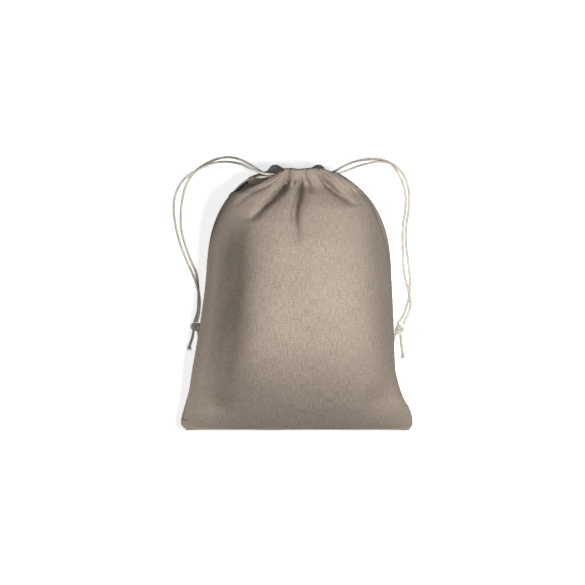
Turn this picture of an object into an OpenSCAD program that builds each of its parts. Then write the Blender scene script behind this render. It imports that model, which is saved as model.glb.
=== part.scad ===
// Drawstring gift sack of linen-cotton cloth, filled and lying on its back.
// X runs across the sack, Y from its bottom seam to its mouth, Z up from the table.

/* [Sack] */
// Width across the bottom corners of the filled sack
sack_w = 245; // [180:1:320]
// Length from the bottom seam to the highest point of the gathered mouth
sack_l = 277; // [220:1:360]
// Thickness of the filled sack, from the table to its crown
sack_t = 100; // [80:1:130]
// Height of the side seams above the table, along the middle of the sack
seam_z = 32; // [26:1:44]
// Height of the bottom seam above the table
bottom_seam_z = 12; // [8:1:20]
// Thickness of the cloth with its slack
cloth_t = 1.2; // [0.8:0.1:2]

/* [Mouth] */
// Width of the gathered mouth
mouth_w = 76; // [60:1:100]
// Height of the middle of the mouth above the table
mouth_z = 50; // [44:1:60]
// Gap between the front and the back of the mouth
mouth_gap = 10; // [8:0.5:16]
// Depth of the gathers in each casing
gather_d = 14.5; // [13:0.5:20]
// Width of one gather across the mouth
gather_pitch = 9; // [6:0.5:14]
// Height of a gather above the furrow beside it
gather_h = 1; // [0.4:0.1:1.4]
// Distance from the top of the mouth down to the casing's row of stitches
casing_h = 19; // [17:0.5:24]
// Distance from the top of the mouth down to the foot of the side slits
slit_h = 26.5; // [24:0.5:40]
// How far the front casing is drawn in at the left slit
slit_inset = 20; // [0:1:24]
// How far each side of the mouth closes when the cords are pulled tight
hem_travel = 3.5; // [0:0.5:4]
// How far each side of the mouth opens when the cords are let out
hem_slack = 0.7; // [0:0.1:1]

/* [Seams] */
// Width of the seam allowance inside the sack
allowance_w = 8; // [5:1:12]
// Thickness of the two cloth layers of an allowance
allowance_t = 1.2; // [0.8:0.1:2]
// Width of a row of stitches
thread_w = 0.8; // [0.5:0.1:1.2]
// Height of a row of stitches
thread_t = 0.4; // [0.3:0.1:0.6]
// Thickness of the rolled hem along a slit
hem_roll = 0.6; // [0.4:0.1:1]
// Length of the bar tack at the foot of a slit
tack_l = 5; // [3:0.5:8]

/* [Cord] */
// Diameter of the drawcord
cord_d = 2.5; // [2:0.1:3]
// Distance between the two cords inside a casing, centre to centre
lane_gap = 3.2; // [3:0.1:3.4]
// Diameter of the balls that a knot is drawn from
knot_d = 8; // [7:0.5:9]
// Clearance between cloth pieces that slide past each other
slide_gap = 0.3; // [0.2:0.05:0.5]
// Clearance between a cord and the casing's tunnel
cord_clear = 0.8; // [0.5:0.1:1]

/* [Hidden] */

LINEN = [0.66, 0.60, 0.52];
LINEN_SHADE = [0.56, 0.50, 0.43];
THREAD = [0.74, 0.68, 0.59];
COTTON = [0.86, 0.82, 0.74];
LEFT = -1;
RIGHT = 1;
FRONT = 1;
BACK = -1;

y_bottom = -sack_l / 2;
y_mouth = sack_l / 2;
y_slit = y_mouth - slit_h;
y_stitch = y_mouth - casing_h;
// Shape of the section: a higher power is boxier
front_power = 2.2;
back_power = 2.4;
// Extra depth of the back, which the table flattens
flatten = 4;
// Rise of the resting patch from its middle to its edge
rest_bow = 0.12;
// Length over which the bottom seam swells to the full section
bottom_swell = 60;
// Where the shoulders begin to draw in towards the mouth
shoulder_y = y_bottom + 0.61 * sack_l;
shoulder_power = 2.6;
shoulder_round = 1.35;
// Where the back begins to lift off the table
lift_y = y_bottom + 0.7 * sack_l;
// Top edges of the casings: how far each stands below the mouth's highest point
front_edge_drop = 5.3;
front_edge_rise = 1.5;
back_edge_drop = 4.5;
hump_x = 23;
hump_w = 8;
// Where the sides of the mouth run straight, up to its top
mouth_side_y = y_mouth - 6.5;
// Share of a casing's height over which the gathers reach their full depth
gather_share = 0.35;
// The casing's tunnel clears both cords, side by side, over the whole travel
tunnel_h = lane_gap + cord_d + hem_travel + hem_slack + 2 * cord_clear;
tunnel_wall = (gather_d - tunnel_h) / 2;
tunnel_y0 = y_stitch + 4;
tunnel_y1 = y_mouth - front_edge_drop - tunnel_wall;
// Where a tunnel opens on top, so that a cord can leave it upwards
flare_x = mouth_w / 2 - 12;
// Where a tunnel opens on its inner side too, so that a cord can turn back
turn_x = mouth_w / 2 - 1;
// Gap between a slit's two hems at its foot
hem_lift = hem_travel + hem_roll + slide_gap;
// Height of a slit's bar tack
tack_h = 5;
// Clearance between the bottom allowance and the side ones
corner_gap = 1;
// Distance of a seam's stitches from the fold
stitch_inset = 1;
COLUMNS = 30;
ROWS = 20;
CASING_ROWS = 6;
SEAM_ROWS = 24;
CORD_SIDES = 8;

// Half width of the body without its shoulders: share of the length, share of half sack_w
LEFT_SIDE = [[0, 0.955], [0.023, 1], [0.085, 0.971], [0.146, 0.931], [0.236, 0.898],
             [0.417, 0.829], [0.6, 0.78], [1, 0.755]];
RIGHT_SIDE = [[0, 0.971], [0.023, 1], [0.074, 0.98], [0.121, 0.922], [0.175, 0.878],
              [0.236, 0.849], [0.417, 0.833], [0.6, 0.816], [1, 0.8]];

// Routes of the cords' free strands, from inside the casing to the knot
LEFT_FRONT_ROUTE = [[12, 129, 62.6], [-10, 129.3, 62.6], [-28, 129.8, 62.6], [-37, 131.3, 61.8],
    [-47, 135.5, 57.5], [-59, 141, 46], [-70, 143.5, 30], [-81, 144, 15], [-93, 141.5, 6.5], [-106, 135, 4.4],
    [-119, 126, 2], [-127, 113, 1.3], [-130, 98, 1.3], [-128.5, 80, 1.3], [-124.5, 62, 1.3],
    [-118, 44, 1.3], [-111, 28, 1.6], [-105.5, 14, 3.3], [-103, 0, 3.9], [-103.5, -14, 4.5],
    [-106, -25, 6]];
LEFT_BACK_ROUTE = [[12, 129, 40.6], [-10, 129.3, 40.6], [-29, 130, 40.6], [-37, 133, 39.8],
    [-47, 139.5, 36], [-59, 146, 27.5], [-71, 149, 15], [-84, 147.5, 5], [-97, 142, 1.4], [-108, 133.5, 1.3],
    [-116, 122, 1.3], [-120.5, 107, 1.3], [-122.5, 90, 1.3], [-122, 73, 1.3],
    [-118, 57, 1.3], [-112, 40, 1.3], [-106.5, 27, 1.3], [-104.5, 13, 1.3], [-104, 0, 1.3],
    [-105, -14, 2], [-108.5, -25, 4.5]];
RIGHT_FRONT_ROUTE = [[-12, 129, 59.4], [10, 129.3, 59.4], [30, 129.6, 59.4], [43, 130.8, 59.1],
    [53, 134.2, 52.5], [63, 138.5, 38.5], [74, 142, 22], [86, 144.5, 9], [97, 143, 4.2],
    [105, 136, 2.6], [111, 125, 1.4], [115, 111, 1.3], [115, 95, 1.3], [112.5, 78, 1.3],
    [112, 62, 1.3], [112.5, 44, 1.3], [114, 25, 1.3], [118, 9, 3.4], [120.5, -5, 3.2],
    [118, -16, 3], [113, -27, 5]];
RIGHT_BACK_ROUTE = [[-12, 129, 37.4], [10, 129.3, 37.4], [29, 130, 37.4], [38, 132.6, 36.8],
    [49, 139, 32], [62, 144.5, 20.5], [76, 147, 8.5], [89, 147, 2.2], [101, 142.5, 1.3],
    [110.5, 134, 1.3], [116.5, 123, 1.3], [119, 109, 1.3], [118.5, 94, 1.3],
    [116, 78, 1.3], [115.5, 61, 1.3], [117.5, 43, 1.3], [119.5, 25, 1.3], [119.5, 9, 1.3],
    [117.5, -4, 1.3], [113, -17, 2], [107, -27, 4]];
// Routes inside the casings and round the far slit
LEFT_RETURN_ROUTE = [[12.4, 129, 62.6], [28, 127.5, 62.6], [38, 127, 61.5], [41.5, 127, 57],
    [42, 127, 51.6], [41.5, 127, 46], [38, 127, 41.7], [28, 127.5, 40.6], [12.4, 129, 40.6]];
RIGHT_RETURN_ROUTE = [[-12.4, 129, 59.4], [-28, 127.5, 59.4], [-38, 127, 58.3],
    [-41.5, 127, 54], [-42, 127, 48.4], [-41.5, 127, 43], [-38, 127, 38.5],
    [-28, 127.5, 37.4], [-12.4, 129, 37.4]];
// Routes of the short tails below the knots
LEFT_TAIL_FRONT_ROUTE = [[-104.5, -33, 6], [-103.5, -41, 4], [-102, -50, 2.2]];
LEFT_TAIL_BACK_ROUTE = [[-109, -33, 4], [-110.5, -41, 2.6], [-113, -49, 1.5]];
RIGHT_TAIL_FRONT_ROUTE = [[110, -38, 5], [110.5, -46, 3], [112, -58, 1.5]];
RIGHT_TAIL_BACK_ROUTE = [[104.5, -37, 4], [102.5, -44, 2.6], [101, -51, 1.5]];
// Balls that each knot is drawn from
LEFT_KNOT = [[-108.5, -27, 5.2], [-105.5, -29.5, 7], [-108, -32.5, 4.8]];
RIGHT_KNOT = [[111, -29, 5.6], [106, -32, 6.8], [109, -36, 5]];

function mix(a, b, s) = a + (b - a) * s;
function clamp01(s) = min(1, max(0, s));
function ease(s) = let (c = clamp01(s)) c * c * (3 - 2 * c);
// Quarter of a superellipse: 0 at s = 0 with an upright start, level at 1 beyond s = 1
function swell(s) = s >= 1 ? 1 : s <= 0 ? 0 : pow(1 - pow(1 - s, 2.4), 1 / 2.4);

// Smooth curve through [place, value] points
function slope(p, i) = let (a = p[max(i - 1, 0)], b = p[min(i + 1, len(p) - 1)])
    (b[1] - a[1]) / (b[0] - a[0]);
function span_of(p, s, i = 0) =
    (i >= len(p) - 2 || s <= p[i + 1][0]) ? i : span_of(p, s, i + 1);
function curve(p, s) =
    let (i = span_of(p, s), h = p[i + 1][0] - p[i][0], t = (s - p[i][0]) / h)
    p[i][1] * (1 + 2 * t) * (1 - t) * (1 - t) + slope(p, i) * h * t * (1 - t) * (1 - t)
    + p[i + 1][1] * t * t * (3 - 2 * t) + slope(p, i + 1) * h * t * t * (t - 1);

// Half width of the sack on one side at a place along it
function half_width(side, y) =
    let (body = curve(side == LEFT ? LEFT_SIDE : RIGHT_SIDE, (y - y_bottom) / sack_l) * sack_w / 2,
         s = clamp01((y - shoulder_y) / (mouth_side_y - shoulder_y)))
    mix(mouth_w / 2, body, pow(1 - pow(s, shoulder_power), 1 / shoulder_round));

// Height of the side seam, and rise of the front and drop of the back from it
function seam_height(y) = mix(bottom_seam_z, seam_z, swell((y - y_bottom) / bottom_swell))
    + (mouth_z - seam_z) * ease((y - shoulder_y) / (y_slit - shoulder_y));
function rise(y) = swell((y - y_bottom) / bottom_swell)
    * mix(sack_t - seam_z, mouth_gap / 2 + gather_d, ease((y - shoulder_y) / (y_mouth - shoulder_y)));
function drop(y) = swell((y - y_bottom) / bottom_swell)
    * mix(seam_z + flatten, mouth_gap / 2 + gather_d, ease((y - lift_y) / (y_mouth - lift_y)));

// Share of the half width and of the rise at a column, from the left rim (0) to the right (1)
function column_x(c, power) = let (k = cos(180 * (1 - c)))
    sign(k) * pow(abs(k), 2 / power);
function column_z(c, power) = pow(max(0, sin(180 * (1 - c))), 2 / power);
function across(c, y, inset, power) = let (k = column_x(c, power))
    k * (half_width(k < 0 ? LEFT : RIGHT, y) - inset);

// A point of a panel's skin: c across, v along, inset inwards from the outer face
function panel_y(v) = mix(y_bottom, y_slit, pow(v, 1.4));
function front_point(c, v, inset) = let (y = panel_y(v))
    [across(c, y, inset, front_power), y + inset * (1 - v),
     seam_height(y) + max(0, rise(y) - inset) * column_z(c, front_power)];
function back_point(c, v, inset) =
    let (y = panel_y(v), x = across(c, y, inset, back_power),
         rest = inset + rest_bow * (pow(2 * x / sack_w, 2) + pow(2 * y / sack_l, 2)),
         z = seam_height(y) - max(0, drop(y) - inset) * column_z(c, back_power))
    [x, y + inset * (1 - v), max(rest, z)];

// Top edge of the casings: the back one stands up in two humps behind the front one
function top_edge(face, x) = face == FRONT
    ? y_mouth - front_edge_drop + front_edge_rise * ease(abs(x) / hump_x)
    : y_mouth - back_edge_drop + back_edge_drop * exp(-pow((abs(x) - hump_x) / hump_w, 2));

// A point of a casing: c across, w from the slit's foot to the top edge, skin 0 outer, 1 inner
function casing_point(face, c, w, skin) =
    let (power = face == FRONT ? front_power : back_power,
         y0 = y_slit + slide_gap,
         y_flat = mix(y0, mouth_side_y, w),
         inset = skin * cloth_t,
         x0 = across(c, y_flat, inset, power),
         x = x0 + (face == FRONT && x0 < 0 ? slit_inset * w * -x0 / (mouth_w / 2) : 0),
         full = (face == FRONT ? rise(y0) : drop(y0)),
         shell = hem_lift + max(0, full - hem_lift - inset) * column_z(c, power),
         ripple = gather_h * (1 - cos(360 * x / gather_pitch)) / 2,
         thick = mouth_gap / 2 + (skin == 0 ? gather_d - ripple : 0),
         z = mix(shell, thick, ease(w / gather_share)))
    [x, mix(y0, top_edge(face, x), w), seam_height(y0) + face * z];

// Closed solid between an outer and an inner grid of points. Seen from outside with the rows
// running upwards, a row's points run from left to right.
module shell(outer, inner) {
    rows = len(outer);
    cols = len(outer[0]);
    n = rows * cols;
    points = concat([for (r = outer) each r], [for (r = inner) each r]);
    function at(r, c) = r * cols + c;
    function quad(a, b, c, d) = [[a, b, c], [a, c, d]];
    faces = concat(
        [for (r = [0:rows - 2], c = [0:cols - 2])
            each quad(at(r, c), at(r + 1, c), at(r + 1, c + 1), at(r, c + 1))],
        [for (r = [0:rows - 2], c = [0:cols - 2])
            each quad(n + at(r, c), n + at(r, c + 1), n + at(r + 1, c + 1), n + at(r + 1, c))],
        [for (c = [0:cols - 2])
            each quad(at(0, c), at(0, c + 1), n + at(0, c + 1), n + at(0, c))],
        [for (c = [0:cols - 2])
            each quad(at(rows - 1, c), n + at(rows - 1, c), n + at(rows - 1, c + 1), at(rows - 1, c + 1))],
        [for (r = [0:rows - 2])
            each quad(at(r, 0), n + at(r, 0), n + at(r + 1, 0), at(r + 1, 0))],
        [for (r = [0:rows - 2])
            each quad(n + at(r, cols - 1), at(r, cols - 1), at(r + 1, cols - 1), n + at(r + 1, cols - 1))]);
    polyhedron(points, faces, convexity = 6);
}

// Closed bar through a list of sections, each a ring of the same number of points
module bar(rings) {
    sides = len(rings[0]);
    last = len(rings) - 1;
    faces = concat(
        [[for (k = [0:sides - 1]) k]],
        [for (r = [0:last - 1], k = [0:sides - 1]) let (j = (k + 1) % sides)
            each [[r * sides + k, (r + 1) * sides + k, (r + 1) * sides + j],
                  [r * sides + k, (r + 1) * sides + j, r * sides + j]]],
        [[for (k = [sides - 1:-1:0]) last * sides + k]]);
    polyhedron([for (r = rings) each r], faces, convexity = 4);
}

function unit(v) = v / norm(v);
function tangent(p, i) = unit(p[min(i + 1, len(p) - 1)] - p[max(i - 1, 0)]);
// Ring of a round cord about a route's point, with its first corner beside the route
function cord_ring(p, i, up) =
    let (t = tangent(p, i), side = unit(cross(t, up)), over = cross(side, t))
    [for (k = [0:CORD_SIDES - 1]) let (a = -360 * k / CORD_SIDES)
        p[i] + cord_d / 2 * (cos(a) * side + sin(a) * over)];
module cord(route, up = [0, 0, 1]) {
    color(COTTON) bar([for (i = [0:len(route) - 1]) cord_ring(route, i, up)]);
}
module knot(balls) {
    color(COTTON) hull() {
        for (p = balls) translate(p) sphere(d = knot_d, $fn = 16);
    }
}

// Share across the sack of a grid's column, which runs the other way on the back
function column(face, k) = face == FRONT ? k / COLUMNS : 1 - k / COLUMNS;

module panel(face) {
    function grid(inset) = [for (r = [0:ROWS]) [for (k = [0:COLUMNS])
        face == FRONT ? front_point(column(face, k), r / ROWS, inset)
                      : back_point(column(face, k), r / ROWS, inset)]];
    color(face == FRONT ? LINEN : LINEN_SHADE) shell(grid(0), grid(cloth_t));
}

module tunnel(face) {
    z0 = mouth_gap / 2 + tunnel_wall;
    z1 = mouth_gap / 2 + gather_d - tunnel_wall;
    translate([-sack_w / 2, tunnel_y0, mouth_z + (face == FRONT ? z0 : -z1)])
        cube([sack_w, tunnel_y1 - tunnel_y0, z1 - z0]);
    for (side = [LEFT, RIGHT]) {
        translate([side == RIGHT ? turn_x : -turn_x - sack_w, tunnel_y0,
                   mouth_z + (face == FRONT ? 0 : -z0 - 1)])
            cube([sack_w, y_mouth + 1 - tunnel_y0, z0 + 1]);
        translate([side == RIGHT ? flare_x : -flare_x - sack_w, tunnel_y0,
                   mouth_z + (face == FRONT ? z0 : -z1)])
            cube([sack_w, y_mouth + 1 - tunnel_y0, z1 - z0]);
    }
}

module casing(face) {
    function grid(skin) = [for (r = [0:CASING_ROWS]) [for (k = [0:COLUMNS])
        casing_point(face, column(face, k), r / CASING_ROWS, skin)]];
    color(face == FRONT ? LINEN : LINEN_SHADE) difference() {
        shell(grid(0), grid(1));
        tunnel(face);
    }
}

// Rolled hem that wraps a casing's rim along one slit
module slit_hem(face, side) {
    c = side == LEFT ? 0 : 1;
    color(LINEN) difference() {
        bar([for (r = [0:CASING_ROWS])
            let (w = r / CASING_ROWS,
                 outer = casing_point(face, c, w, 0),
                 inner = casing_point(face, c, w, 1),
                 out = [side * 2 * hem_roll, 0, 0],
                 lip = [0, 0, face * hem_roll],
                 ring = [outer, outer + out + lip, inner + out - lip, inner])
            side * face > 0 ? ring : [ring[3], ring[2], ring[1], ring[0]]]);
        tunnel(face);
    }
}

// Row of stitches along the foot of a casing, on its outer face
module casing_thread(face) {
    w = (y_stitch - y_slit - slide_gap) / (top_edge(face, 0) - y_slit - slide_gap);
    dw = thread_w / (y_mouth - y_slit);
    color(THREAD) bar([for (k = [1:COLUMNS - 1])
        let (c = k / COLUMNS,
             a = casing_point(face, c, w, 0),
             b = casing_point(face, c, w + dw, 0),
             up = [0, 0, face * thread_t])
        face == FRONT ? [a, b, b + up, a + up] : [a + up, b + up, b, a]]);
}

// Bar along a side seam, from one inset to another and between two heights
module side_bar(side, inset0, inset1, z0, z1, y0, y1) {
    bar([for (k = [0:SEAM_ROWS])
        let (y = mix(y0, y1, k / SEAM_ROWS),
             a = side * (half_width(side, y) - inset0),
             b = side * (half_width(side, y) - inset1),
             z = seam_height(y),
             ring = [[a, y, z + z0], [b, y, z + z0], [b, y, z + z1], [a, y, z + z1]])
        side * (inset1 - inset0) > 0 ? ring : [ring[3], ring[2], ring[1], ring[0]]]);
}
seam_y0 = y_bottom + cloth_t + allowance_w + corner_gap;
module side_seam(side) {
    color(LINEN_SHADE) side_bar(side, cloth_t, cloth_t + allowance_w,
        -allowance_t / 2, allowance_t / 2, seam_y0, y_slit);
}
module seam_thread(side) {
    color(THREAD) side_bar(side, cloth_t + stitch_inset, cloth_t + stitch_inset + thread_w,
        allowance_t / 2, allowance_t / 2 + thread_t, seam_y0, y_slit);
}
module slit_tack(side) {
    color(THREAD) side_bar(side, 0, -thread_w, -tack_h / 2, tack_h / 2, y_slit - tack_l, y_slit);
}

module bottom_bar(inset0, inset1, z0, z1) {
    x0 = -half_width(LEFT, y_bottom) + cloth_t + 2 * corner_gap;
    x1 = half_width(RIGHT, y_bottom) - cloth_t - 2 * corner_gap;
    translate([x0, y_bottom + inset0, bottom_seam_z + z0])
        cube([x1 - x0, inset1 - inset0, z1 - z0]);
}
module bottom_seam() {
    color(LINEN_SHADE) bottom_bar(cloth_t, cloth_t + allowance_w, -allowance_t / 2, allowance_t / 2);
}
module bottom_seam_thread() {
    color(THREAD) bottom_bar(cloth_t + stitch_inset, cloth_t + stitch_inset + thread_w,
        allowance_t / 2, allowance_t / 2 + thread_t);
}

panel(FRONT);  // front_panel
panel(BACK);  // back_panel
side_seam(LEFT);  // left_side_seam
side_seam(RIGHT);  // right_side_seam
bottom_seam();
seam_thread(LEFT);  // left_seam_thread
seam_thread(RIGHT);  // right_seam_thread
bottom_seam_thread();
slit_tack(LEFT);  // left_slit_tack
slit_tack(RIGHT);  // right_slit_tack
cord(LEFT_RETURN_ROUTE, [0, 1, 0]);  // left_cord_return
cord(RIGHT_RETURN_ROUTE, [0, 1, 0]);  // right_cord_return
casing(FRONT);  // front_casing
casing_thread(FRONT);  // front_casing_thread
slit_hem(FRONT, LEFT);  // front_left_slit_hem
slit_hem(FRONT, RIGHT);  // front_right_slit_hem
casing(BACK);  // back_casing
casing_thread(BACK);  // back_casing_thread
slit_hem(BACK, LEFT);  // back_left_slit_hem
slit_hem(BACK, RIGHT);  // back_right_slit_hem
cord(LEFT_FRONT_ROUTE);  // left_cord_front_strand
cord(LEFT_BACK_ROUTE);  // left_cord_back_strand
knot(LEFT_KNOT);  // left_knot
cord(LEFT_TAIL_FRONT_ROUTE);  // left_tail_front
cord(LEFT_TAIL_BACK_ROUTE);  // left_tail_back
cord(RIGHT_FRONT_ROUTE);  // right_cord_front_strand
cord(RIGHT_BACK_ROUTE);  // right_cord_back_strand
knot(RIGHT_KNOT);  // right_knot
cord(RIGHT_TAIL_FRONT_ROUTE);  // right_tail_front
cord(RIGHT_TAIL_BACK_ROUTE);  // right_tail_back
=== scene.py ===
# %% [markdown]
# # A drawstring gift sack of linen, filled and lying on its back
# The CAD model holds the sizes, the joints and plain stand-ins for the soft parts. Each cell below
# makes one real piece of the sack over those stand-ins: two gathered sheets of cloth, their hems,
# seams and stitches, two cotton cords with their knots and frayed tails, and the materials.
# Everything is in metres, X across the sack, Y from its bottom seam to its mouth, Z up.

import bpy
import numpy as np
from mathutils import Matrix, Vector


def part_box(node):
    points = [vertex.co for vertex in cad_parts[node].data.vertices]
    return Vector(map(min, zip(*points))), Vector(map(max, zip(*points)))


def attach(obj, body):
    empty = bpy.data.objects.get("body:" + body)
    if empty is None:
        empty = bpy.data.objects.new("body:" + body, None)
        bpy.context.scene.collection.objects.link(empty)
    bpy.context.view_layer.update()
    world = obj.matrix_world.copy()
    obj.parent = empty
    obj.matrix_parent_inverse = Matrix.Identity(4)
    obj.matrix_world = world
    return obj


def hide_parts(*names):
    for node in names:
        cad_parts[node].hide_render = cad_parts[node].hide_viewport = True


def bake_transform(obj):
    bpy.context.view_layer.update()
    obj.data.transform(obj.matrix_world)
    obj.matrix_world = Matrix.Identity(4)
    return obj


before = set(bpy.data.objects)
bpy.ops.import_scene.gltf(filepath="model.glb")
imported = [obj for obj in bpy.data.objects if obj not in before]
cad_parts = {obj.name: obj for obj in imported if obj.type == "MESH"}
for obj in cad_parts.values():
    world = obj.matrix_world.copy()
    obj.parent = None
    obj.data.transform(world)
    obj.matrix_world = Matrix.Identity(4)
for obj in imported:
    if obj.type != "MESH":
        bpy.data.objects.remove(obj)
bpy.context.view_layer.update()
MM = 0.001
LEFT, RIGHT = -1, 1
FRONT, BACK = 1, -1

# %% [markdown]
# ## Sizes from the frame
# A piece made over a CAD part takes its place from that part's box, so it still fits when the part
# is made longer or wider. Only the sizes that no box gives, such as how round the shoulders are,
# are written here as numbers.

# %% Sizes from the frame
HALF_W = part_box("front_panel")[1][0]
Y_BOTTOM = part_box("front_panel")[0][1]
Y_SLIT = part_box("front_panel")[1][1]
Y_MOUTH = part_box("back_casing")[1][1]
CROWN_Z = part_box("front_panel")[1][2]
BOTTOM_Z = (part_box("bottom_seam")[0][2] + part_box("bottom_seam")[1][2]) / 2
LENGTH = Y_MOUTH - Y_BOTTOM
SEAM_Z = 32 * MM
MOUTH_Z = (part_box("front_casing")[0][2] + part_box("back_casing")[1][2]) / 2
MOUTH_HALF = 38 * MM
SHOULDER_END = Y_MOUTH - 6.5 * MM
CASING_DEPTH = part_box("front_casing")[1][2] - MOUTH_Z
CASING_H = 19 * MM
Y_STITCH = Y_MOUTH - CASING_H
SHOULDER_Y = Y_BOTTOM + 0.61 * LENGTH
LIFT_Y = Y_BOTTOM + 0.7 * LENGTH
CLOTH_T = 0.8 * MM
CORD_D = 2.5 * MM
print("length", LENGTH, "mouth height", MOUTH_Z, "casing depth", CASING_DEPTH)


# %% [markdown]
# ## Small helpers
# A smooth step, a swelling quarter curve and a smooth curve through a few points are enough to draw
# every outline here. Noise made of a few seeded waves gives soft dents that are the same each run.

# %% Curves and soft noise
def mix(a, b, s):
    """From a at s = 0 to b at s = 1, in a straight line."""
    return a + (b - a) * s


def ease(s):
    """0 before s = 0, 1 after s = 1, and 3s^2 - 2s^3 between."""
    c = np.clip(s, 0, 1)
    return c * c * (3 - 2 * c)


def swell(s):
    """Quarter of a superellipse: rises upright from 0 at s = 0 and is level at 1 from s = 1 on."""
    return (1 - (1 - np.clip(s, 0, 1)) ** 2.4) ** (1 / 2.4)


FILL_POWER = 1.8


def fill(s):
    """1 - (1 - s)^FILL_POWER: rises gently from 0 at s = 0 and is level at 1 from s = 1 on."""
    return 1 - (1 - np.clip(s, 0, 1)) ** FILL_POWER


def through(places, values, s):
    """Cubic Hermite curve through (place, value) points, each slope taken from its neighbours."""
    p, v = np.asarray(places, float), np.asarray(values, float)
    lo, hi = np.maximum(np.arange(len(p)) - 1, 0), np.minimum(np.arange(len(p)) + 1, len(p) - 1)
    slopes = (v[hi] - v[lo]) / (p[hi] - p[lo])
    i = np.clip(np.searchsorted(p, s) - 1, 0, len(p) - 2)
    h = p[i + 1] - p[i]
    t = np.clip((s - p[i]) / h, 0, 1)
    return (v[i] * (1 + 2 * t) * (1 - t) ** 2 + slopes[i] * h * t * (1 - t) ** 2
            + v[i + 1] * t * t * (3 - 2 * t) + slopes[i + 1] * h * t * t * (t - 1))


def bump_at(x, y, x0, y0, wide, tall):
    """1 at (x0, y0), fading as a bell of the given half sizes."""
    return np.exp(-((x - x0) / wide) ** 2 - ((y - y0) / tall) ** 2)


def waves(x, y, size, seed):
    """Soft noise from -1 to 1: twelve plane waves of about that length, in seeded directions."""
    rng = np.random.default_rng(seed)
    total = 0
    for angle, phase, stretch in zip(rng.uniform(0, np.pi, 12), rng.uniform(0, 2 * np.pi, 12),
                                     rng.uniform(0.7, 1.5, 12)):
        total = total + np.sin(2 * np.pi * (x * np.cos(angle) + y * np.sin(angle)) / size / stretch + phase)
    return total / 5


# %% [markdown]
# ## From arrays to meshes
# A piece is computed as whole arrays of points. A grid of points becomes quads by index arithmetic,
# and `foreach_set` puts the points into the mesh in one go, which is far quicker than a Python loop
# over vertices. The UV map carries real cloth distances, so a weave follows the cloth as it folds.

# %% Grid and tube meshes
def finish_piece(obj, material, body):
    """Smooth shading, a material and the body that it rides on, which is None for a piece that bends between
    two bodies."""
    obj.data.shade_smooth()
    obj.data.materials.append(material)
    if body:
        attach(obj, body)
    return obj


def grid_object(name, points, uv, closed_across=False, flip=False):
    """Mesh from points[row, column]: one quad between each four neighbours. uv has the same grid."""
    rows, cols = points.shape[:2]
    index = np.arange(rows * cols).reshape(rows, cols)
    if closed_across:
        index = np.concatenate([index, index[:, :1]], axis=1)
        whole_turn = (uv[0, 1, 0] - uv[0, 0, 0]) * cols
        uv = np.concatenate([uv, uv[:, :1] + [whole_turn, 0]], axis=1)
    corners = [index[:-1, :-1], index[:-1, 1:], index[1:, 1:], index[1:, :-1]]
    uv_corners = [uv[:-1, :-1], uv[:-1, 1:], uv[1:, 1:], uv[1:, :-1]]
    if flip:
        corners, uv_corners = corners[::-1], uv_corners[::-1]
    quads = np.stack(corners, axis=-1).reshape(-1, 4)
    mesh = bpy.data.meshes.new(name)
    mesh.from_pydata(points.reshape(-1, 3).tolist(), [], quads.tolist())
    layer = mesh.uv_layers.new(name="cloth")
    layer.data.foreach_set("uv", np.stack(uv_corners, axis=2).reshape(-1, 2).astype(np.float32).ravel())
    obj = bpy.data.objects.new(name, mesh)
    bpy.context.scene.collection.objects.link(obj)
    return obj


def even_path(points, step):
    """Points a given step apart along the Catmull-Rom curve through the given points."""
    p = np.asarray(points, float)
    ends = np.vstack([2 * p[0] - p[1], p, 2 * p[-1] - p[-2]])
    t = np.linspace(0, 1, 24, endpoint=False)[:, None]
    parts = [0.5 * ((2 * b) + (c - a) * t + (2 * a - 5 * b + 4 * c - d) * t ** 2
                    + (3 * b - a - 3 * c + d) * t ** 3)
             for a, b, c, d in zip(ends[:-3], ends[1:-2], ends[2:-1], ends[3:])]
    fine = np.vstack(parts + [p[-1:]])
    along = np.concatenate([[0], np.cumsum(np.linalg.norm(np.diff(fine, axis=0), axis=1))])
    places = np.linspace(0, along[-1], max(int(along[-1] / step), 2) + 1)
    return np.stack([np.interp(places, along, fine[:, k]) for k in range(3)], axis=1), along[-1]


def path_frames(path, loop=False):
    """Tangent, side and upper directions along a path. Each side is the last one, made square
    to the new tangent, so a tube carried along the path doesn't twist by itself."""
    if loop:
        tangent = np.roll(path, -1, axis=0) - np.roll(path, 1, axis=0)
    else:
        tangent = np.gradient(path, axis=0)
    tangent /= np.linalg.norm(tangent, axis=1, keepdims=True)
    side = np.zeros_like(path)
    last = np.cross(tangent[0], [0.1, 0.2, 1.0])
    for i, t in enumerate(tangent):
        last = last - t * np.dot(last, t)
        last = last / np.linalg.norm(last)
        side[i] = last
    return tangent, side, np.cross(tangent, side)


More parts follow.
